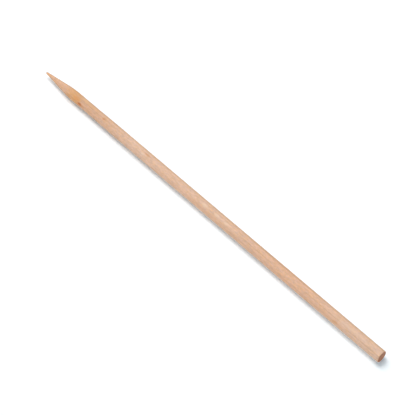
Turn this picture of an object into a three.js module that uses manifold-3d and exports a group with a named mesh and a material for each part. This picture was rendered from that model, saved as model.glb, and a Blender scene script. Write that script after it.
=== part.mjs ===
// Bamboo skewer: a round stick of solid bamboo, one piece, with a long blunt point ground at one
// end and a plain saw cut at the other.
// Millimetres, +Z up. The stick lies along X with its point toward -X. The middle of its length
// is at X = 0, and its lowest line is at Z = 0.

import * as THREE from 'three';
import { mergeVertices, toCreasedNormals } from 'three/addons/utils/BufferGeometryUtils.js';
import Module from 'manifold-3d';

const wasm = await Module();
wasm.setup();

// Shaft. Places along the stick are distances from its tip.
const length = 254;                 // overall, to the longest corner of the sawn end
const shaftDiameter = 6.18;
const neckDiameter = 5.84;          // the sanded neck behind the point
const neckEnd = 41;
const neckBlend = 22;               // over which the neck swells to the full shaft
const bellyDiameter = 6.3;          // the stick is thickest here
const bellyPlace = 88;
const bellyReach = 34;              // to each side of the thickest place

// Ground point: a rounded tip, a straight cone, a long rounding, and a flatter cone on which the
// grinding runs out through the neck's surface
const tipRadius = 0.62;
const pointHalfAngle = 6.05;
const shoulderRounding = 90;
const runOutHalfAngle = 2.2;
const runOutDepth = 0.12;           // below the neck's surface, where the flatter cone starts
const tipOffset = 0.26;             // the grinding runs off the stick's axis by this at the tip,
const shoulderOffset = 0.05;        // and by this at the shoulder, so the shoulder line slants
const offsetSide = 120;             // degrees round the stick, from the top toward -Y

// Sawn end
const cutAngle = 3.5;               // the cut is this far off square
const cutLongSide = 120;            // the side left longest, measured as offsetSide is
const arrisWidth = 0.14;            // the worn edge round the cut

// Fineness of the facets
const sides = 72;
const tipSteps = 6;
const shoulderSteps = 8;
const blendSteps = 7;
const bellySteps = 10;

const margin = 1.5;                 // how far the blank and its cutting tools reach past the stick

const radians = THREE.MathUtils.degToRad;
const neckRadius = neckDiameter / 2;
const bellyRadius = bellyDiameter / 2;
const largestRadius = Math.max(bellyDiameter, shaftDiameter, neckDiameter) / 2;

// Radius of the blank at a distance from the tip
function blankRadius(along) {
  const swell = THREE.MathUtils.smoothstep(along, neckEnd, neckEnd + neckBlend);
  const radius = THREE.MathUtils.lerp(neckRadius, shaftDiameter / 2, swell);
  const fromBelly = THREE.MathUtils.clamp((along - bellyPlace) / bellyReach, -1, 1);
  const belly = (1 + Math.cos(Math.PI * fromBelly)) / 2;
  return radius + (bellyRadius - radius) * belly;
}

// Even stations from one distance to another, without the last
function stations(from, to, steps) {
  return Array.from({ length: steps }, (_, i) => THREE.MathUtils.lerp(from, to, i / steps));
}

// Points of an arc in the profile plane, from one angle to another, both ends included
function arc(centreRadius, centreAlong, radius, from, to, steps) {
  return Array.from({ length: steps + 1 }, (_, i) => {
    const angle = THREE.MathUtils.lerp(from, to, i / steps);
    return new THREE.Vector2(
      centreRadius + radius * Math.cos(angle),
      centreAlong + radius * Math.sin(angle),
    );
  });
}

// Unit vector across the stick, toward a side given in degrees from the top toward -Y
function across(side) {
  return new THREE.Vector3(Math.sin(radians(side)), 0, Math.cos(radians(side)));
}

// Leans a tool that stands along +Y over toward a side
function lean(geometry, angle, side) {
  const hinge = new THREE.Vector3(0, 1, 0).cross(across(side));
  return geometry.applyMatrix4(new THREE.Matrix4().makeRotationAxis(hinge, angle));
}

// Turns a round tool by half a facet, so that its edges cut between the blank's
function betweenEdges(geometry) {
  return geometry.rotateY(Math.PI / sides);
}

// The round blank, longer than the stick at both ends
function blankGeometry() {
  const bellyStart = bellyPlace - bellyReach;
  const bellyStop = bellyPlace + bellyReach;
  const along = [
    -margin,
    ...stations(neckEnd, neckEnd + neckBlend, blendSteps),
    ...stations(bellyStart, bellyStop, bellySteps),
    bellyStop,
    length + margin,
  ].sort((a, b) => a - b);
  const surface = along.map((place) => new THREE.Vector2(blankRadius(place), place));
  const profile = [
    new THREE.Vector2(0, along.at(0)),
    ...surface,
    new THREE.Vector2(0, along.at(-1)),
  ];
  return new THREE.LatheGeometry(profile, sides);
}

// The surface of the point in the point's own frame, from inside its shoulder down to its tip
function pointProfile() {
  const cone = radians(pointHalfAngle);
  const runOut = radians(runOutHalfAngle);
  const tip = arc(0, tipRadius, tipRadius, -cone, -Math.PI / 2, tipSteps);
  const roundingEnd = neckRadius - runOutDepth;
  const roundingCentre = roundingEnd - shoulderRounding * Math.cos(runOut);
  const coneEnd = roundingCentre + shoulderRounding * Math.cos(cone);
  const coneLength = (coneEnd - tip[0].x) / Math.tan(cone);
  const roundingAlong = tip[0].y + coneLength + shoulderRounding * Math.sin(cone);
  const rounding = arc(
    roundingCentre, roundingAlong, shoulderRounding, -runOut, -cone, shoulderSteps,
  );
  return [...rounding, ...tip];
}

// What the grinding takes away: all that lies round the point
function groundAway() {
  const surface = pointProfile();
  const start = surface[0];
  const outside = largestRadius + tipOffset + margin;
  const top = start.y + (outside - start.x) / Math.tan(radians(runOutHalfAngle));
  const profile = [
    new THREE.Vector2(0, -2 * margin),
    new THREE.Vector2(outside, -2 * margin),
    new THREE.Vector2(outside, top),
    ...surface,
  ];
  const tool = betweenEdges(new THREE.LatheGeometry(profile, sides));
  lean(tool, -Math.atan2(tipOffset - shoulderOffset, start.y), offsetSide);
  const offset = across(offsetSide).multiplyScalar(tipOffset);
  return tool.translate(offset.x, offset.y, offset.z);
}

// What the saw takes off the other end, with what wear takes off the edge of the cut
function sawnOff() {
  const faceRadius = blankRadius(length) - arrisWidth;
  const reach = arrisWidth + margin;
  const profile = [
    new THREE.Vector2(0, 0),
    new THREE.Vector2(faceRadius, 0),
    new THREE.Vector2(faceRadius + reach, -reach),
    new THREE.Vector2(faceRadius + reach, 2 * margin),
    new THREE.Vector2(0, 2 * margin),
  ];
  const tool = betweenEdges(new THREE.LatheGeometry(profile, sides));
  lean(tool, -radians(cutAngle), cutLongSide);
  return tool.translate(0, length - faceRadius * Math.tan(radians(cutAngle)), 0);
}

// A closed solid from a geometry, with its shared corners merged and its collapsed faces left out
function solid(geometry) {
  geometry.deleteAttribute('normal');
  geometry.deleteAttribute('uv');
  const merged = mergeVertices(geometry);
  const triVerts = [];
  for (let i = 0; i < merged.index.count; i += 3) {
    const [a, b, c] = merged.index.array.slice(i, i + 3);
    if (a !== b && b !== c && c !== a) triVerts.push(a, b, c);
  }
  return new wasm.Manifold(new wasm.Mesh({
    numProp: 3,
    vertProperties: merged.attributes.position.array,
    triVerts: new Uint32Array(triVerts),
  }));
}

// The solid's faces as a geometry, smooth along the stick and crisp at its edges
function faces(body) {
  const mesh = body.getMesh();
  const geometry = new THREE.BufferGeometry();
  geometry.setAttribute('position', new THREE.BufferAttribute(mesh.vertProperties, 3));
  geometry.setIndex(new THREE.BufferAttribute(mesh.triVerts, 1));
  return toCreasedNormals(geometry, radians(20));
}

function bamboo() {
  return new THREE.MeshStandardMaterial({
    name: 'bamboo',
    color: 0xdfbaa0,
    roughness: 0.62,
    metalness: 0,
  });
}

// The stick is made along +Y from its tip, then laid down along X
function skewer() {
  const body = solid(blankGeometry()).subtract(solid(groundAway())).subtract(solid(sawnOff()));
  const mesh = new THREE.Mesh(faces(body), bamboo());
  mesh.name = 'skewer';
  mesh.rotation.z = -Math.PI / 2;
  mesh.position.set(-length / 2, 0, largestRadius);
  return mesh;
}

const model = new THREE.Group();
model.add(skewer());

export default model;
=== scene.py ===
"""A bamboo skewer for Blender: a round stick with a ground point and a sawn butt.

It lies on a white floor. Lengths in this file are metres. Places along the stick are distances
from its tip, and sides are angles round it, from the top toward -Y.
"""

import math

import bpy
from mathutils import Matrix, Vector, noise


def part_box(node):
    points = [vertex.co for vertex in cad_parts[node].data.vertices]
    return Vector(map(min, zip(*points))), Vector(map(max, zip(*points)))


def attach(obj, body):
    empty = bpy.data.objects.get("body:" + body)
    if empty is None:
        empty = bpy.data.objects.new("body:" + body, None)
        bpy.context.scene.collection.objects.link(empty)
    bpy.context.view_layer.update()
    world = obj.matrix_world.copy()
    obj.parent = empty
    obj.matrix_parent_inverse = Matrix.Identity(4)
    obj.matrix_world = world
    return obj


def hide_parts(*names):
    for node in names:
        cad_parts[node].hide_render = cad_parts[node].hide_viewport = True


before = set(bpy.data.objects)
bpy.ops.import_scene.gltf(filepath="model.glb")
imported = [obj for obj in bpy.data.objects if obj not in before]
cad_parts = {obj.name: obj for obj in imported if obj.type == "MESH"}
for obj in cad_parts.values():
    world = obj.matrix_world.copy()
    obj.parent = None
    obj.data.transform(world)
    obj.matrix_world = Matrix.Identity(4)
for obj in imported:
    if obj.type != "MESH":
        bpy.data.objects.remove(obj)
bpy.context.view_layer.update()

bl_info = {
    "name": "Bamboo Skewer",
    "version": (1, 0, 0),
    "blender": (4, 5, 0),
    "location": "View3D > Sidebar > Skewer",
    "description": "Models a round bamboo skewer, its wood and a plain stage to see it on",
    "category": "Add Mesh",
}

MM = 0.001
LOW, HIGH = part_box("skewer")
BOX_LENGTH = HIGH[0] - LOW[0]
BOX_HEIGHT = HIGH[2] - LOW[2]


# Sizes and colours that a user would change

class SkewerSizes(bpy.types.PropertyGroup):
    """Measures of the stick"""

    length: bpy.props.FloatProperty(
        name="Length", description="Overall length, to the longest corner of the sawn butt",
        default=BOX_LENGTH, unit="LENGTH")
    belly_diameter: bpy.props.FloatProperty(
        name="Belly", description="Diameter where the stick is thickest",
        default=BOX_HEIGHT, unit="LENGTH")
    shaft_diameter: bpy.props.FloatProperty(
        name="Shaft", description="Diameter of the plain shaft, over its highest fibres",
        default=6.28 * MM, unit="LENGTH")
    neck_diameter: bpy.props.FloatProperty(
        name="Neck", description="Diameter of the sanded neck behind the point, over its fibres",
        default=5.94 * MM, unit="LENGTH")
    neck_end: bpy.props.FloatProperty(
        name="Neck end", description="Where the neck ends", default=41 * MM, unit="LENGTH")
    neck_blend: bpy.props.FloatProperty(
        name="Neck blend", description="Length over which the neck swells to the shaft",
        default=22 * MM, unit="LENGTH")
    belly_place: bpy.props.FloatProperty(
        name="Belly place", description="Where the stick is thickest", default=88 * MM,
        unit="LENGTH")
    belly_reach: bpy.props.FloatProperty(
        name="Belly reach", description="Reach of the belly to each side", default=34 * MM,
        unit="LENGTH")
    tip_radius: bpy.props.FloatProperty(
        name="Tip radius", description="Radius of the rounded tip", default=0.60 * MM,
        unit="LENGTH")
    point_angle: bpy.props.FloatProperty(
        name="Point angle", description="Half angle of the ground cone",
        default=math.radians(6.25), subtype="ANGLE")
    shoulder_rounding: bpy.props.FloatProperty(
        name="Shoulder rounding", description="Radius of the rounding between cone and neck",
        default=30 * MM, unit="LENGTH")
    run_out_angle: bpy.props.FloatProperty(
        name="Run-out angle", description="Half angle at which the grinding leaves the neck",
        default=math.radians(2.2), subtype="ANGLE")
    run_out_depth: bpy.props.FloatProperty(
        name="Run-out depth", description="Depth below the neck at which the run-out starts",
        default=0.12 * MM, unit="LENGTH")
    tip_offset: bpy.props.FloatProperty(
        name="Tip offset", description="How far the tip is off the stick's axis",
        default=0.26 * MM, unit="LENGTH")
    shoulder_offset: bpy.props.FloatProperty(
        name="Shoulder offset", description="How far the grinding is off the axis at the shoulder",
        default=0.05 * MM, unit="LENGTH")
    offset_side: bpy.props.FloatProperty(
        name="Offset side", description="Side toward which the point is off the axis",
        default=math.radians(120), subtype="ANGLE")
    cut_angle: bpy.props.FloatProperty(
        name="Saw cut", description="How far the saw cut is off square",
        default=math.radians(3.5), subtype="ANGLE")
    cut_side: bpy.props.FloatProperty(
        name="Long side", description="Side that the saw cut leaves longest",
        default=math.radians(120), subtype="ANGLE")
    arris: bpy.props.FloatProperty(
        name="Arris", description="Width of the worn edge of the butt", default=0.14 * MM,
        unit="LENGTH")
    fibre_depth: bpy.props.FloatProperty(
        name="Fibre depth", description="Depth of the grooves between the fibres",
        default=0.022 * MM, unit="LENGTH")


class SkewerLooks(bpy.types.PropertyGroup):
    """Colours of the wood, as they look in plain light"""

    wood: bpy.props.FloatVectorProperty(
        name="Wood", description="Bamboo in the middle of the stick", subtype="COLOR_GAMMA",
        default=(0.880, 0.732, 0.620), min=0, max=1)
    pale: bpy.props.FloatVectorProperty(
        name="Pale wood", description="The pale stretch, toward the point",
        subtype="COLOR_GAMMA", default=(0.885, 0.748, 0.648), min=0, max=1)
    # Partly the wood's own paler tone and partly painted light, which makes up for the weaker
    # light near the butt
    palest_with_painted_light: bpy.props.FloatVectorProperty(
        name="Palest wood", description="The last stretch before the butt",
        subtype="COLOR_GAMMA", default=(0.882, 0.750, 0.650), min=0, max=1)
    warm: bpy.props.FloatVectorProperty(
        name="Warm wood", description="The warmest stretch, toward the butt",
        subtype="COLOR_GAMMA", default=(0.878, 0.716, 0.598), min=0, max=1)
    ground: bpy.props.FloatVectorProperty(
        name="Ground wood", description="Bamboo laid bare by grinding the point",
        subtype="COLOR_GAMMA", default=(0.840, 0.675, 0.548), min=0, max=1)
    ochre: bpy.props.FloatVectorProperty(
        name="Ochre zone", description="The yellowed zone behind the shoulder",
        subtype="COLOR_GAMMA", default=(0.855, 0.655, 0.450), min=0, max=1)
    butt: bpy.props.FloatVectorProperty(
        name="End grain", description="The sawn end", subtype="COLOR_GAMMA",
        default=(0.845, 0.615, 0.495), min=0, max=1)
    end_edge: bpy.props.FloatVectorProperty(
        name="End grain edge", description="The sawn end toward its lower edge",
        subtype="COLOR_GAMMA", default=(0.905, 0.620, 0.455), min=0, max=1)
    vessel: bpy.props.FloatVectorProperty(
        name="Vessels", description="The darker fibre strands and their ends",
        subtype="COLOR_GAMMA", default=(0.540, 0.350, 0.250), min=0, max=1)


class SkewerStage(bpy.types.PropertyGroup):
    """Camera and light"""

    azimuth: bpy.props.FloatProperty(
        name="Azimuth", description="Direction of view, 0 along +Y",
        default=math.radians(47.546), subtype="ANGLE")
    elevation: bpy.props.FloatProperty(
        name="Elevation", description="Height of view above the floor",
        default=math.radians(51), subtype="ANGLE")
    distance: bpy.props.FloatProperty(
        name="Distance", description="From the camera to its aim", default=552.74 * MM,
        unit="LENGTH")
    aim: bpy.props.FloatVectorProperty(
        name="Aim", description="Point in the middle of the picture",
        default=(7.951 * MM, 0.521 * MM, 3.15 * MM), subtype="XYZ", unit="LENGTH")
    lens: bpy.props.FloatProperty(
        name="Lens", description="Focal length in millimetres", default=93.72)
    fill: bpy.props.FloatProperty(
        name="Fill light", description="Strength of the light from all round", default=0.53)
    key: bpy.props.FloatProperty(
        name="Key light", description="Power of the soft lamp overhead", default=81.5,
        unit="POWER")


# Form of the stick, from its sizes

def side_vector(side):
    """Unit vector across the stick toward a side."""
    return Vector((0, -math.sin(side), math.cos(side)))


def smooth(value, low, high):
    """Smooth step from 0 at low to 1 at high."""
    share = min(max((value - low) / (high - low), 0), 1)
    return share * share * (3 - 2 * share)


def blank_radius(sizes, along):
    """Radius of the round blank."""
    swell = smooth(along, sizes.neck_end, sizes.neck_end + sizes.neck_blend)
    radius = (sizes.neck_diameter + (sizes.shaft_diameter - sizes.neck_diameter) * swell) / 2
    from_belly = min(max((along - sizes.belly_place) / sizes.belly_reach, -1), 1)
    belly = (1 + math.cos(math.pi * from_belly)) / 2
    return radius + (sizes.belly_diameter / 2 - radius) * belly


def point_places(sizes):
    """Where the tip's rounding, the cone and the shoulder's rounding end, with their radii."""
    tip_end = sizes.tip_radius * (1 - math.sin(sizes.point_angle))
    tip_end_radius = sizes.tip_radius * math.cos(sizes.point_angle)
    rounding_end_radius = sizes.neck_diameter / 2 - sizes.run_out_depth
    drop = math.cos(sizes.run_out_angle) - math.cos(sizes.point_angle)
    cone_end_radius = rounding_end_radius - sizes.shoulder_rounding * drop
    cone_end = tip_end + (cone_end_radius - tip_end_radius) / math.tan(sizes.point_angle)
    run = math.sin(sizes.point_angle) - math.sin(sizes.run_out_angle)
    rounding_end = cone_end + sizes.shoulder_rounding * run
    return tip_end, cone_end, rounding_end, rounding_end_radius


def point_radius(sizes, along):
    """Radius of the ground point, which runs on past the shoulder as a wide cone."""
    tip_end, cone_end, rounding_end, rounding_end_radius = point_places(sizes)
    if along <= tip_end:
        fall = sizes.tip_radius - max(along, 0)
        return math.sqrt(max(sizes.tip_radius ** 2 - fall ** 2, 0))
    if along <= cone_end:
        start = sizes.tip_radius * math.cos(sizes.point_angle)
        return start + (along - tip_end) * math.tan(sizes.point_angle)
    if along <= rounding_end:
        rounding = sizes.shoulder_rounding
        reach = rounding * math.sin(sizes.run_out_angle) + rounding_end - along
        centre = rounding_end_radius - rounding * math.cos(sizes.run_out_angle)
        return centre + math.sqrt(rounding ** 2 - reach ** 2)
    return rounding_end_radius + (along - rounding_end) * math.tan(sizes.run_out_angle)


def stick_radius(sizes, along):
    """Radius of the stick before the point is set off its axis."""
    return min(point_radius(sizes, along), blank_radius(sizes, along))


def butt_place(sizes):
    """Where the saw cut crosses the stick's axis."""
    face = blank_radius(sizes, sizes.length) - sizes.arris
    return sizes.length - face * math.tan(sizes.cut_angle)


def evenly(start, end, step):
    """Places from start up to but not at end, about step apart."""
    count = max(round((end - start) / step), 1)
    return [start + (end - start) * i / count for i in range(count)]


# The modelled rings: how many points each has, how many steps go round the tip, and how far apart
# the rings are along each other stretch
RING_POINTS = 56
TIP_STEPS = 6
CONE_STEP = 1.3 * MM
ROUNDING_STEP = 1.0 * MM
RUN_OUT_LENGTH = 6 * MM
RUN_OUT_STEP = 0.8 * MM
SHAFT_STEP = 4.0 * MM
BUTT_LENGTH = 6 * MM
BUTT_STEP = 1.2 * MM
LAST_STEP = 0.55 * MM

# Where the butt's worn edge starts, is half round and ends, as shares of the arris
ARRIS_START = 1.15
ARRIS_MIDDLE = 0.45
ARRIS_END = 1.1

# Widths of the rings in the sawn face, the outermost first
FIRST_INSET = 0.12 * MM
INSET = 0.33 * MM


def ring_places(sizes):
    """Places of the modelled rings from the tip to the butt's worn edge, with their radii."""
    tip_end, cone_end, rounding_end, _ = point_places(sizes)
    rings = []
    for step in range(1, TIP_STEPS):
        angle = (math.pi / 2 - sizes.point_angle) * step / TIP_STEPS
        rings.append((sizes.tip_radius * (1 - math.cos(angle)),
                      sizes.tip_radius * math.sin(angle)))
    shoulder_end = rounding_end + RUN_OUT_LENGTH
    butt = butt_place(sizes)
    places = evenly(tip_end, cone_end, CONE_STEP)
    places += evenly(cone_end, rounding_end, ROUNDING_STEP)
    places += evenly(rounding_end, shoulder_end, RUN_OUT_STEP)
    places += evenly(shoulder_end, butt - BUTT_LENGTH, SHAFT_STEP)
    places += evenly(butt - BUTT_LENGTH, butt - BUTT_STEP, BUTT_STEP)
    rings += [(place, stick_radius(sizes, place)) for place in places]
    edge = blank_radius(sizes, butt)
    rings += [(butt - back, edge) for back in (BUTT_STEP, LAST_STEP, sizes.arris * ARRIS_START)]
    rings += [(butt - sizes.arris * ARRIS_MIDDLE, edge - sizes.arris * ARRIS_MIDDLE),
              (butt, edge - sizes.arris * ARRIS_END)]
    return rings


# Modelling

def start_clean():
    """Leaves edit mode and deselects everything."""
    if bpy.context.object and bpy.context.object.mode != "OBJECT":
        bpy.ops.object.mode_set(mode="OBJECT")
    bpy.ops.object.select_all(action="DESELECT")


def draw_stick(sizes):
    """Draws the tip as a filled ring, then extrudes and scales it ring by ring to the butt."""
    start_clean()
    axis_height = sizes.belly_diameter / 2
    start = -sizes.length / 2
    rings = ring_places(sizes)
    place, radius = rings[0]
    bpy.ops.mesh.primitive_circle_add(
        vertices=RING_POINTS, radius=radius, fill_type="NGON",
        location=(start + place, 0, axis_height), rotation=(0, math.pi / 2, 0))
    stick = bpy.context.object
    stick.name = stick.data.name = "skewer_stick"
    bpy.ops.object.transform_apply(location=True, rotation=True, scale=True)
    bpy.ops.object.mode_set(mode="EDIT")
    bpy.ops.mesh.select_mode(type="FACE")
    bpy.ops.mesh.select_all(action="SELECT")
    for next_place, next_radius in rings[1:]:
        bpy.ops.mesh.extrude_region_move(
            TRANSFORM_OT_translate={"value": (next_place - place, 0, 0)})
        share = next_radius / radius
        bpy.ops.transform.resize(value=(1, share, share))
        place, radius = next_place, next_radius
    return stick


def ring_the_butt(sizes):
    """Insets the sawn face ring by ring toward its centre."""
    radius = blank_radius(sizes, butt_place(sizes)) - sizes.arris * ARRIS_END
    bpy.ops.mesh.inset(thickness=FIRST_INSET)
    radius -= FIRST_INSET
    while radius > 1.5 * INSET:
        bpy.ops.mesh.inset(thickness=INSET)
        radius -= INSET


# A place from which no two corners are equally far
ODD_PLACE = Vector((-0.31, 0.043, 0.017))


def settle_order():
    """Numbers what is selected by its distance from the odd place.

    Extruding numbers the faces by chance, and with this each run gives the same mesh.
    """
    cursor = bpy.context.scene.cursor
    former_place = cursor.location.copy()
    cursor.location = ODD_PLACE
    bpy.ops.mesh.sort_elements(type="CURSOR_DISTANCE", elements={"VERT", "EDGE", "FACE"})
    cursor.location = former_place


def refine(stick):
    """Numbers the form's parts in a fixed order, turns its faces outward and subdivides it for the
    fibres.
    """
    bpy.ops.mesh.select_all(action="SELECT")
    settle_order()
    bpy.ops.mesh.normals_make_consistent(inside=False)
    bpy.ops.object.mode_set(mode="OBJECT")
    bpy.ops.object.modifier_add(type="SUBSURF")
    fine = stick.modifiers[-1]
    fine.levels = fine.render_levels = 2
    bpy.ops.object.modifier_apply(modifier=fine.name)


def grind_off_axis(sizes, place, across):
    """Sets the ground point off the stick's axis, and lets it run out through the blank."""
    _, _, rounding_end, _ = point_places(sizes)
    ground = point_radius(sizes, place)
    blank = blank_radius(sizes, place)
    past_the_point = ground > blank + 4 * sizes.shoulder_offset
    on_the_axis = across.length < 1e-9
    if past_the_point or on_the_axis:
        return across
    slope = (sizes.shoulder_offset - sizes.tip_offset) / rounding_end
    offset = (sizes.tip_offset + slope * place) * side_vector(sizes.offset_side)
    if ground > blank:
        across = across.normalized() * ground
    moved = across + offset
    return moved if moved.length <= blank else moved.normalized() * blank


def fibre_noise(place, outward, along, about, start=0):
    """Noise of a given fineness along the stick and about it, from -1 to 1."""
    return noise.noise(Vector((place * along + start, outward.y * about, outward.z * about)))


def fibre_groove(sizes, place, across):
    """Depth of the grooves between the fibres at a place on the surface."""
    outward = across.normalized()
    strands = fibre_noise(place, outward, along=18, about=7)
    threads = fibre_noise(place, outward, along=45, about=19)
    depth = 0.5 + 0.5 * (0.55 * strands + 0.75 * threads)
    deepest = max(fibre_noise(place, outward, along=9, about=11, start=31) - 0.28, 0)
    return sizes.fibre_depth * (min(max(depth, 0), 1) + 3.2 * deepest)


def unevenness(place):
    """How much the hand of the sander took off here, from 0 to 1."""
    return 0.5 + 0.5 * noise.noise(Vector((place * 75, 4.0, 8.0)))


def worn_rim(place, across, butt, reach):
    """How chipped the rim of the butt is, from 0 to 1."""
    near = smooth(place, butt - reach, butt)
    ragged = noise.noise(Vector((place * 900, across.y * 2600, across.z * 2600)))
    return near * max(0.35 + 0.65 * ragged, 0)


def end_relief(across):
    """How deep the saw's scratches and the open vessels are in the sawn face, from 0 to 1.5."""
    bundles = across * 1500
    waver = 2 * noise.noise(bundles)
    scratch = 0.5 + 0.5 * math.sin(across.y * 9500 + 900 * across.z + waver)
    distances, _ = noise.voronoi(bundles)
    vessel = 1 - smooth(distances[0], 0.12, 0.34)
    torn = 0.5 + 0.5 * noise.noise(across * 4200)
    return 0.25 * scratch + 0.9 * vessel + 0.4 * torn


# Depths that are taken off the finished form
SAW_MARKS = 0.05 * MM
SANDING = 0.015 * MM
CHIPS = 0.09 * MM

# Distances between which they and the fibres fade in
MARKS_FROM_RIM = (0, 0.2 * MM)
FIBRES_FROM_TIP = (0.2 * MM, 3 * MM)
SANDING_FROM_TIP = (4 * MM, 30 * MM)

# How far the chips reach from the butt, and how near its axis the stick is left plain
CHIPS_REACH = 0.5 * MM
PLAIN_CORE = 0.1 * MM

# Distances before the butt at which the rings start to lean, and from which they all lie as the
# saw cut does
LEAN_START = 9 * MM
LEAN_END = 0.6 * MM


def finish_form(stick, sizes):
    """Moves every vertex of the fine mesh: off-axis grinding, fibres, wear and the saw cut."""
    axis_height = sizes.belly_diameter / 2
    start = -sizes.length / 2
    butt = butt_place(sizes)
    face_radius = blank_radius(sizes, butt) - sizes.arris
    long_side = side_vector(sizes.cut_side)
    for vertex in stick.data.vertices:
        place = vertex.co.x - start
        across = Vector((0, vertex.co.y, vertex.co.z - axis_height))
        if place > butt - 0.3 * sizes.arris and across.length < face_radius:
            inside = smooth(face_radius - across.length, *MARKS_FROM_RIM)
            place -= SAW_MARKS * end_relief(across) * inside
        else:
            across = grind_off_axis(sizes, place, across)
            if across.length > PLAIN_CORE:
                depth = fibre_groove(sizes, place, across) * smooth(place, *FIBRES_FROM_TIP)
                depth += SANDING * unevenness(place) * smooth(place, *SANDING_FROM_TIP)
                depth += CHIPS * worn_rim(place, across, butt, CHIPS_REACH)
                across = across * (1 - depth / across.length)
        leaning = smooth(place, butt - LEAN_START, butt - LEAN_END)
        place += math.tan(sizes.cut_angle) * across.dot(long_side) * leaning
        vertex.co = Vector((start + place, across.y, across.z + axis_height))


# Wood

# Numbers of the mix node's colour sockets, which share their names with others
FIRST_COLOUR = 6
SECOND_COLOUR = 7
MIXED_COLOUR = 2

# Factors on the wood's colour, then the painted shade along the upper rim and the side it lies on
YELLOWER = (1.025, 0.98, 0.875, 1)
ROSIER = (0.985, 0.99, 1.07, 1)
RIM_SHADE = (0.81, 0.77, 0.72, 1)
RIM_SHADE_SIDE = -40

# How strongly the vessels' colour shows along the shaft and in the sawn face
VESSELS_IN_SHAFT = 0.20
VESSELS_IN_END = 0.75

SAWN_ROUGHNESS = 0.86


class Nodes:
    """The nodes of a material or world, with short ways to add to them."""

    def __init__(self, owner, surface="Principled BSDF"):
        owner.use_nodes = True
        self.tree = owner.node_tree
        self.surface = self.tree.nodes[surface]
        self.coordinates = self.add("ShaderNodeTexCoord").outputs
        self.place = self.coordinates["Object"]

    def add(self, kind, **settings):
        """Adds a node with its settings."""
        node = self.tree.nodes.new(kind)
        for name, value in settings.items():
            setattr(node, name, value)
        return node

    def put(self, value, socket):
        """Links a socket to another, or sets its number."""
        if isinstance(value, bpy.types.NodeSocket):
            self.tree.links.new(value, socket)
        else:
            socket.default_value = value

    def maths(self, operation, *values):
        """A number worked out from others."""
        node = self.add("ShaderNodeMath", operation=operation)
        for value, socket in zip(values, node.inputs):
            self.put(value, socket)
        return node.outputs[0]

    def vector(self, operation, *values, output=0):
        """A vector worked out from others."""
        node = self.add("ShaderNodeVectorMath", operation=operation)
        for value, socket in zip(values, node.inputs):
            self.put(value, socket)
        return node.outputs[output]

    def between(self, value, low, high, to_low=0.0, to_high=1.0):
        """Smoothly maps a value from one range to another."""
        node = self.add("ShaderNodeMapRange", interpolation_type="SMOOTHSTEP")
        for number, socket in zip((value, low, high, to_low, to_high), node.inputs):
            self.put(number, socket)
        return node.outputs["Result"]

    def parts(self, vector):
        """The X, Y and Z of a vector."""
        node = self.add("ShaderNodeSeparateXYZ")
        self.put(vector, node.inputs[0])
        return node.outputs

    def seen_directly(self):
        """1 for rays from the camera, or by way of metal or glass, and 0 for those that light."""
        ray = self.add("ShaderNodeLightPath").outputs
        seen = self.maths("MAXIMUM", ray["Is Camera Ray"], ray["Is Glossy Ray"])
        return self.maths("MAXIMUM", seen, ray["Is Transmission Ray"])

    def stretched(self, scale, centre=(0, 0, 0)):
        """The place on the stick, scaled along each axis."""
        moved = self.vector("SUBTRACT", self.place, centre)
        return self.vector("MULTIPLY", moved, scale)

    def cloud(self, scale, detail=3.0, roughness=0.55, offset=(0, 0, 0)):
        """Soft noise drawn out along the stick, about 0.5 in the middle."""
        node = self.add("ShaderNodeTexNoise")
        self.put(self.stretched(scale, offset), node.inputs["Vector"])
        node.inputs["Scale"].default_value = 1.0
        node.inputs["Detail"].default_value = detail
        node.inputs["Roughness"].default_value = roughness
        return node.outputs["Fac"]

    def mix(self, share, first, second, blend="MIX"):
        """Blends two colours."""
        node = self.add("ShaderNodeMix", data_type="RGBA", blend_type=blend)
        self.put(share, node.inputs["Factor"])
        self.put(first, node.inputs[FIRST_COLOUR])
        self.put(second, node.inputs[SECOND_COLOUR])
        return node.outputs[MIXED_COLOUR]


def linear(colour):
    """A colour as the shader takes it, from the way it looks."""
    return tuple(
        value / 12.92 if value <= 0.04045 else ((value + 0.055) / 1.055) ** 2.4
        for value in colour) + (1.0,)


def surface_place(sizes, along, side):
    """The point of the surface at a distance from the tip, on a side."""
    radius = stick_radius(sizes, along)
    across = side_vector(math.radians(side)) * radius
    return Vector((along - sizes.length / 2, across.y, across.z + sizes.belly_diameter / 2))


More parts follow.
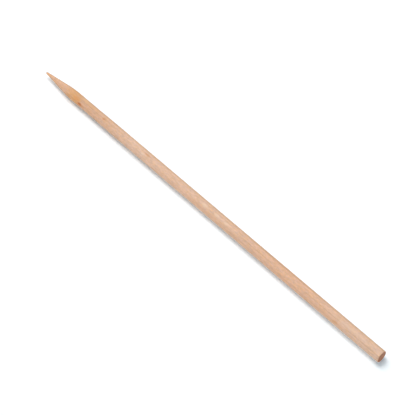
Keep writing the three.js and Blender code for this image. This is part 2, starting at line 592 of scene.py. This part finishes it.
# Marks of the stick: name, distance from the tip, side in degrees, length and width, colour and
# strength
MARKS = (
    ("brown fleck", 33.3 * MM, 66, 4.2 * MM, 1.8 * MM, (0.760, 0.430, 0.185), 1.0),
    ("fleck's tail", 36.0 * MM, 68, 4.0 * MM, 1.0 * MM, (0.810, 0.560, 0.350), 0.60),
    ("tip edge", 3.0 * MM, -25, 8.0 * MM, 1.4 * MM, (0.770, 0.545, 0.390), 0.60),
    ("orange side", 41.0 * MM, -8, 16.0 * MM, 2.2 * MM, (0.850, 0.675, 0.490), 0.45),
    ("ochre heart", 30.0 * MM, 41, 6.0 * MM, 2.8 * MM, (0.850, 0.605, 0.370), 0.70),
    ("brown edge", 25.5 * MM, -34, 9.0 * MM, 1.1 * MM, (0.700, 0.510, 0.320), 0.55),
    ("yellow patch", 35.0 * MM, -14, 7.0 * MM, 2.2 * MM, (0.860, 0.700, 0.520), 0.60),
    ("orange fleck", 52.7 * MM, 16, 2.4 * MM, 1.3 * MM, (0.800, 0.545, 0.370), 0.85),
    ("grey fleck", 52.4 * MM, 55, 2.4 * MM, 1.1 * MM, (0.760, 0.660, 0.590), 0.40),
    ("red streak", 88.9 * MM, 8, 5.6 * MM, 1.2 * MM, (0.810, 0.600, 0.440), 0.80),
    ("pale fleck", 85.9 * MM, 31, 3.0 * MM, 1.2 * MM, (0.930, 0.830, 0.750), 0.50),
    ("first pale patch", 134.4 * MM, 21, 4.6 * MM, 2.2 * MM, (0.915, 0.800, 0.705), 0.70),
    ("second pale patch", 143.3 * MM, 19, 4.0 * MM, 1.8 * MM, (0.915, 0.800, 0.705), 0.65),
    ("third pale patch", 150.2 * MM, 25, 3.6 * MM, 1.6 * MM, (0.915, 0.800, 0.705), 0.65),
    ("pale streak", 237.0 * MM, 17, 26.0 * MM, 1.7 * MM, (0.920, 0.805, 0.725), 0.35),
    ("warm side", 146.0 * MM, 68, 52.0 * MM, 3.0 * MM, (0.865, 0.690, 0.550), 0.45),
    ("second warm side", 219.0 * MM, 70, 30.0 * MM, 2.8 * MM, (0.865, 0.690, 0.550), 0.45),
    ("orange streak", 226.7 * MM, 63, 4.2 * MM, 1.2 * MM, (0.835, 0.620, 0.440), 0.70),
)


def paint_marks(wood, sizes, colour):
    """Lays the marks over the wood, each a soft spot drawn out along the fibres."""
    for _, along, side, length, width, tint, strength in MARKS:
        centre = surface_place(sizes, along, side)
        spot = wood.stretched((2 / length, 2 / width, 2 / width), centre)
        distance = wood.vector("LENGTH", spot, output="Value")
        ragged = wood.cloud((500, 2400, 2400), detail=1.0, offset=tuple(centre))
        reach = wood.maths("ADD", distance, wood.maths("MULTIPLY_ADD", ragged, -0.9, 0.45))
        share = wood.between(reach, 0.35, 1.25, strength, 0.0)
        colour = wood.mix(share, colour, linear(tint))
    return colour


def wood_along(wood, sizes, looks):
    """The wood's colour from the point to the butt, with painted light on the last stretch before
    the butt.
    """
    start = -sizes.length / 2
    along = wood.parts(wood.place)["X"]
    wander = wood.cloud((60, 900, 900), detail=2.0)
    place = wood.maths("MULTIPLY_ADD", wander, 7.0 * MM, along)
    place = wood.maths("SUBTRACT", place, start + 3.5 * MM)
    blotch = wood.cloud((28, 150, 150), detail=2.0)
    colour = wood.mix(wood.between(blotch, 0.3, 0.7), linear(looks.wood), linear(looks.pale))
    colour = wood.mix(wood.between(place, 115 * MM, 80 * MM), colour, linear(looks.pale))
    # Painted light: the last stretch is made paler, partly its own tone and partly to make up for
    # the weaker light near the butt
    colour = wood.mix(wood.between(place, 220 * MM, 250 * MM), colour, linear(looks.palest_with_painted_light))
    warm = wood.maths("MULTIPLY", wood.between(place, 150 * MM, 192 * MM),
                      wood.between(place, 232 * MM, 200 * MM))
    colour = wood.mix(warm, colour, linear(looks.warm))
    toward_ground = wood.between(place, 84 * MM, 34 * MM)
    colour = wood.mix(toward_ground, colour, linear(looks.ground))
    ochre = wood.maths("MULTIPLY", wood.between(place, 20.5 * MM, 24.5 * MM),
                       wood.between(place, 33.4 * MM, 31.0 * MM))
    patchy = wood.between(wood.cloud((380, 800, 800), detail=2.0), 0.32, 0.58, 0.5, 1.0)
    colour = wood.mix(wood.maths("MULTIPLY", ochre, patchy), colour, linear(looks.ochre))
    return wood.mix(wood.between(place, 6 * MM, 1 * MM, 0.0, 0.6), colour, linear(looks.ochre))


def mottled(wood, colour):
    """Lays soft rosy, yellow, light and dark patches over the wood."""
    rosy = wood.between(wood.cloud((430, 1050, 1050), roughness=0.65), 0.34, 0.66)
    tint = wood.mix(rosy, YELLOWER, ROSIER)
    colour = wood.mix(1.0, colour, tint, blend="MULTIPLY")
    fine = wood.cloud((520, 1250, 1250), roughness=0.65, offset=(0.4, 0, 0))
    shade = wood.between(fine, 0.34, 0.66, 0.92, 1.06)
    return wood.mix(1.0, colour, shade, blend="MULTIPLY")


def painted_rim_shade(wood, sizes, colour):
    """Painted shade: darkens a band on the upper side toward +Y, where light falls off at the rim.
    """
    across = wood.stretched((0, 1, 1), (0, 0, sizes.belly_diameter / 2))
    facing = wood.vector("DOT_PRODUCT", wood.vector("NORMALIZE", across),
                         side_vector(math.radians(RIM_SHADE_SIDE)), output="Value")
    # The painted shade is full within about 13 degrees of that side and fades out by about 26
    share = wood.between(facing, 0.90, 0.975)
    darker = wood.mix(1.0, colour, RIM_SHADE, blend="MULTIPLY")
    return wood.mix(share, colour, darker)


def sawn_share(wood, sizes):
    """1 on the sawn face and 0 on the rest."""
    normal = Vector((math.cos(sizes.cut_angle), 0, 0))
    normal -= side_vector(sizes.cut_side) * math.sin(sizes.cut_angle)
    middle = Vector((butt_place(sizes) - sizes.length / 2, 0, sizes.belly_diameter / 2))
    from_middle = wood.vector("SUBTRACT", wood.place, middle)
    depth = wood.vector("DOT_PRODUCT", from_middle, normal, output="Value")
    return wood.between(depth, -0.09 * MM, -0.03 * MM)


def fibre_lines(wood, strands):
    """Lines along the stick, of broad strands and fine threads together."""
    threads = wood.cloud((40, 5200, 5200), detail=2.0)
    return wood.maths("ADD", wood.maths("MULTIPLY", strands, 0.5),
                      wood.maths("MULTIPLY", threads, 0.5))


def vessels(wood):
    """1 inside the vessels, which run through the stick, and 0 between them."""
    bundles = wood.add("ShaderNodeTexVoronoi", feature="F1")
    wood.put(wood.stretched((14, 1250, 1250)), bundles.inputs["Vector"])
    bundles.inputs["Scale"].default_value = 1.0
    return wood.between(bundles.outputs["Distance"], 0.30, 0.12)


def shaft_colour(wood, sizes, looks, lines, vessel):
    """The colour of the point and the shaft, with their fibres and marks."""
    # The wood's colour, with painted shade along the upper rim
    colour = painted_rim_shade(wood, sizes, mottled(wood, wood_along(wood, sizes, looks)))
    bands = wood.cloud((7, 420, 420), detail=2.0)
    light = wood.between(lines, 0.32, 0.68, 0.92, 1.06)
    light = wood.maths("MULTIPLY", light, wood.between(bands, 0.3, 0.7, 0.97, 1.02))
    colour = wood.mix(1.0, colour, light, blend="MULTIPLY")
    shown = wood.maths("MULTIPLY", vessel, VESSELS_IN_SHAFT)
    colour = wood.mix(shown, colour, linear(looks.vessel))
    return paint_marks(wood, sizes, colour)


def end_colour(wood, looks, strands, vessel):
    """The colour of the sawn face, warmer toward its lower edge."""
    darker = [value * 0.88 for value in looks.butt]
    colour = wood.mix(wood.between(strands, 0.3, 0.7), linear(looks.butt), linear(darker))
    shown = wood.maths("MULTIPLY", vessel, VESSELS_IN_END)
    colour = wood.mix(shown, colour, linear(looks.vessel))
    low = wood.between(wood.parts(wood.place)["Z"], 2.4 * MM, 0.6 * MM, 0.0, 0.7)
    return wood.mix(low, colour, linear(looks.end_edge))


def bumps(wood, lines, vessel):
    """The surface's slope over the fibres, with the vessels sunk in."""
    bump = wood.add("ShaderNodeBump")
    bump.inputs["Strength"].default_value = 0.55
    bump.inputs["Distance"].default_value = 0.03 * MM
    height = wood.maths("SUBTRACT", lines, wood.maths("MULTIPLY", vessel, 0.6))
    wood.put(height, bump.inputs["Height"])
    return bump.outputs["Normal"]


def bamboo(sizes, looks):
    """Bare sanded bamboo: fibres and vessels that run through the stick, marks, and end grain."""
    material = bpy.data.materials.new("bamboo")
    wood = Nodes(material)
    strands = wood.cloud((130, 1300, 1300), detail=4.0, roughness=0.62)
    lines = fibre_lines(wood, strands)
    vessel = vessels(wood)
    sawn = sawn_share(wood, sizes)

    shaft = shaft_colour(wood, sizes, looks, lines, vessel)
    end = end_colour(wood, looks, strands, vessel)
    wood.put(wood.mix(sawn, shaft, end), wood.surface.inputs["Base Color"])

    sanded = wood.between(lines, 0.3, 0.7, 0.70, 0.54)
    rough = wood.maths("MAXIMUM", sanded, wood.maths("MULTIPLY", sawn, SAWN_ROUGHNESS))
    wood.put(rough, wood.surface.inputs["Roughness"])
    wood.surface.inputs["Specular IOR Level"].default_value = 0.35
    wood.put(bumps(wood, lines, vessel), wood.surface.inputs["Normal"])
    return material


# Stage

FLOOR_COLOUR = (0.905, 0.915, 0.93, 1)
FLOOR_GLOW = (0.60, 0.86, 1.0, 1)
WORLD_COLOUR = (1.0, 0.99, 0.98, 1)
LAMP_COLOUR = (1.0, 0.985, 0.965)
LAMP_PLACE = Vector((-1.34, 0.42, 2.64))
LAMP_SIZE = 2.15
FLOOR_SIZE = 30


def white_floor():
    """A floor that looks white to the camera and still takes the stick's shadow.

    Its glow grows toward the butt, where less light falls, and far off, for a white horizon.
    """
    material = bpy.data.materials.new("white_floor")
    floor = Nodes(material)
    floor.surface.inputs["Base Color"].default_value = FLOOR_COLOUR
    floor.surface.inputs["Roughness"].default_value = 1.0
    floor.surface.inputs["Specular IOR Level"].default_value = 0.0
    floor.surface.inputs["Emission Color"].default_value = FLOOR_GLOW
    from_stick = floor.vector("LENGTH", floor.place, output="Value")
    near = floor.between(floor.parts(floor.place)["X"], -0.16, 0.15, 0.18, 0.30)
    glow = floor.between(from_stick, 0.14, 0.80, near, 1.7)
    strength = floor.maths("MULTIPLY", floor.seen_directly(), glow)
    floor.put(strength, floor.surface.inputs["Emission Strength"])
    return material


def lay_floor():
    """Adds a wide floor at the height that the stick lies on."""
    start_clean()
    bpy.ops.mesh.primitive_plane_add(size=FLOOR_SIZE, location=(0, 0, 0))
    floor = bpy.context.object
    floor.name = floor.data.name = "floor"
    floor.data.materials.append(white_floor())


def light_world(strength):
    """Soft light, strongest low down and from -Y, and weak from beyond the butt.

    To the camera it is plain white.
    """
    world = bpy.data.worlds.new("white_room")
    bpy.context.scene.world = world
    sky = Nodes(world, "Background")
    direction = sky.parts(sky.coordinates["Generated"])
    light = sky.between(direction["Z"], 0.1, 0.5, 4.4 * strength, 0.25 * strength)
    light = sky.maths("MULTIPLY", light, sky.between(direction["X"], -0.3, 0.8, 1.0, 0.3))
    light = sky.maths("MULTIPLY", light, sky.between(direction["Y"], -0.7, 0.5, 1.16, 0.96))
    white = sky.add("ShaderNodeMix")
    sky.put(sky.seen_directly(), white.inputs["Factor"])
    sky.put(light, white.inputs["A"])
    white.inputs["B"].default_value = 1.0
    sky.put(white.outputs["Result"], sky.surface.inputs["Strength"])
    sky.surface.inputs["Color"].default_value = WORLD_COLOUR


def hang_lamp(power):
    """A soft lamp overhead, a little toward +Y and toward the point."""
    start_clean()
    turn = (-LAMP_PLACE).to_track_quat("-Z", "Y").to_euler()
    bpy.ops.object.light_add(type="AREA", location=LAMP_PLACE, rotation=turn)
    lamp = bpy.context.object
    lamp.name = lamp.data.name = "soft_lamp"
    lamp.data.shape = "DISK"
    lamp.data.size = LAMP_SIZE
    lamp.data.energy = power
    lamp.data.color = LAMP_COLOUR


def set_camera(stage):
    """Looks down on the stick as the picture does."""
    azimuth, elevation = stage.azimuth, stage.elevation
    back = Vector((math.sin(azimuth) * math.cos(elevation),
                   -math.cos(azimuth) * math.cos(elevation), math.sin(elevation)))
    right = Vector((math.cos(azimuth), math.sin(azimuth), 0))
    place = Vector(stage.aim) + back * stage.distance
    turn = Matrix((right, back.cross(right), back)).transposed()
    start_clean()
    bpy.ops.object.camera_add(location=place, rotation=turn.to_euler())
    camera = bpy.context.object
    camera.name = camera.data.name = "camera"
    camera.data.lens = stage.lens
    camera.data.clip_start = 0.01
    bpy.context.scene.camera = camera


# Operators and panel

class SKEWER_OT_stick(bpy.types.Operator):
    """Model the stick with its ground point, sawn butt and fibres, and give it its wood"""

    bl_idname = "skewer.stick"
    bl_label = "Stick"

    def execute(self, context):
        sizes = context.scene.skewer_sizes
        stick = draw_stick(sizes)
        ring_the_butt(sizes)
        refine(stick)
        finish_form(stick, sizes)
        bpy.ops.object.shade_smooth_by_angle(angle=math.radians(35))
        stick.data.materials.append(bamboo(sizes, context.scene.skewer_looks))
        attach(stick, "root")
        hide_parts("skewer")
        return {"FINISHED"}


class SKEWER_OT_stage(bpy.types.Operator):
    """Lay the white floor, light it softly and set the camera"""

    bl_idname = "skewer.stage"
    bl_label = "Stage"

    def execute(self, context):
        stage = context.scene.skewer_stage
        lay_floor()
        light_world(stage.fill)
        hang_lamp(stage.key)
        set_camera(stage)
        context.scene.view_settings.view_transform = "Standard"
        return {"FINISHED"}


class SKEWER_PT_panel(bpy.types.Panel):
    """Lists the skewer's steps and sizes"""

    bl_idname = "SKEWER_PT_panel"
    bl_label = "Bamboo Skewer"
    bl_space_type = "VIEW_3D"
    bl_region_type = "UI"
    bl_category = "Skewer"

    def draw(self, context):
        layout = self.layout
        for group in (context.scene.skewer_sizes, context.scene.skewer_looks,
                      context.scene.skewer_stage):
            box = layout.box()
            for name in group.__annotations__:
                box.prop(group, name)
        layout.operator(SKEWER_OT_stick.bl_idname)
        layout.operator(SKEWER_OT_stage.bl_idname)


CLASSES = (SkewerSizes, SkewerLooks, SkewerStage, SKEWER_OT_stick, SKEWER_OT_stage,
           SKEWER_PT_panel)


def register():
    for cls in CLASSES:
        bpy.utils.register_class(cls)
    bpy.types.Scene.skewer_sizes = bpy.props.PointerProperty(type=SkewerSizes)
    bpy.types.Scene.skewer_looks = bpy.props.PointerProperty(type=SkewerLooks)
    bpy.types.Scene.skewer_stage = bpy.props.PointerProperty(type=SkewerStage)


def unregister():
    del bpy.types.Scene.skewer_stage
    del bpy.types.Scene.skewer_looks
    del bpy.types.Scene.skewer_sizes
    for cls in reversed(CLASSES):
        bpy.utils.unregister_class(cls)


def main():
    register()
    bpy.ops.skewer.stick()
    bpy.ops.skewer.stage()


if __name__ == "__main__":
    main()
